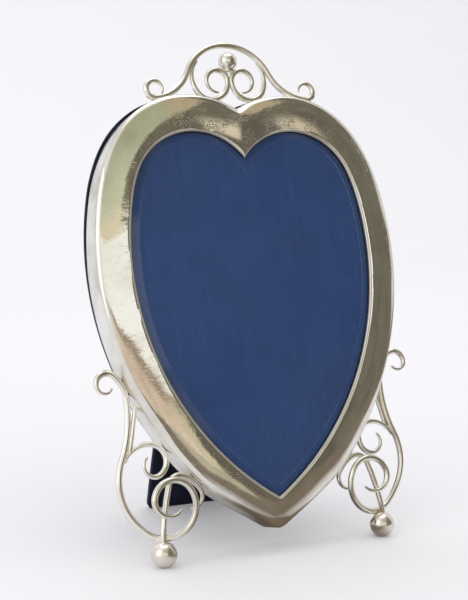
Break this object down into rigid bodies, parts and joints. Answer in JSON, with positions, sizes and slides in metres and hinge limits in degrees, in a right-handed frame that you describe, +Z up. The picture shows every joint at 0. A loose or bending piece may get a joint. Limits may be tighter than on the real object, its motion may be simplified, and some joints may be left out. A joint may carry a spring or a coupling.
{
  "type": "heart shaped photo frame",
  "caption": "Heart shaped easel photo frame with a domed silver border, scrolled wire crest and feet, bevelled glass and a hinged velvet strut.",
  "frame": {"origin": "centre of the footprint on the floor plane, midway between the front of the ball feet and the rear of the strut's foot", "axes": "+Z up, the heart faces -Y and leans back towards +Y, X runs across the heart"},
  "size_m": [0.1368, 0.0842, 0.1993],
  "materials": {
    "silver": "polished old silver, finely scratched and pitted",
    "glass": "clear, bevelled edge",
    "twill": "fine dark blue twill",
    "card": "plain",
    "wood": "plain sawn",
    "velvet": "short pile velvet",
    "brass": "satin"
  },
  "bodies": {
    "heart": {"silver_face": "silver", "side_band": "silver", "wood_liner": "wood", "bevelled_glass": "glass", "blue_lining": "twill", "lining_card": "card", "plug_board": "wood", "back_board": "wood", "velvet_back": "velvet", "back_screws": "brass", "crest_arch": "silver", "crest_scroll_left": "silver", "crest_scroll_right": "silver", "crest_ball": "silver", "foot_scroll_left": "silver", "foot_scroll_right": "silver", "foot_curl_left": "silver", "foot_curl_right": "silver", "foot_crook_left": "silver", "foot_crook_right": "silver", "foot_tie_left": "silver", "foot_tie_right": "silver", "ball_foot_left": "silver", "ball_foot_right": "silver", "hinge_leaf_back": "brass", "hinge_pin": "brass", "hinge_rivets_back": "brass"},
    "strut": {"hinge_leaf_strut": "brass", "hinge_rivets_strut": "brass", "strut_board": "wood", "strut_velvet": "velvet"}
  },
  "joints": [
    {"name": "strut_hinge", "type": "hinge", "parent": "heart", "child": "strut", "pos_m": [0, 0.00463, 0.11803], "axis": [-1, 0, 0], "range_deg": [0, 29]}
  ]
}
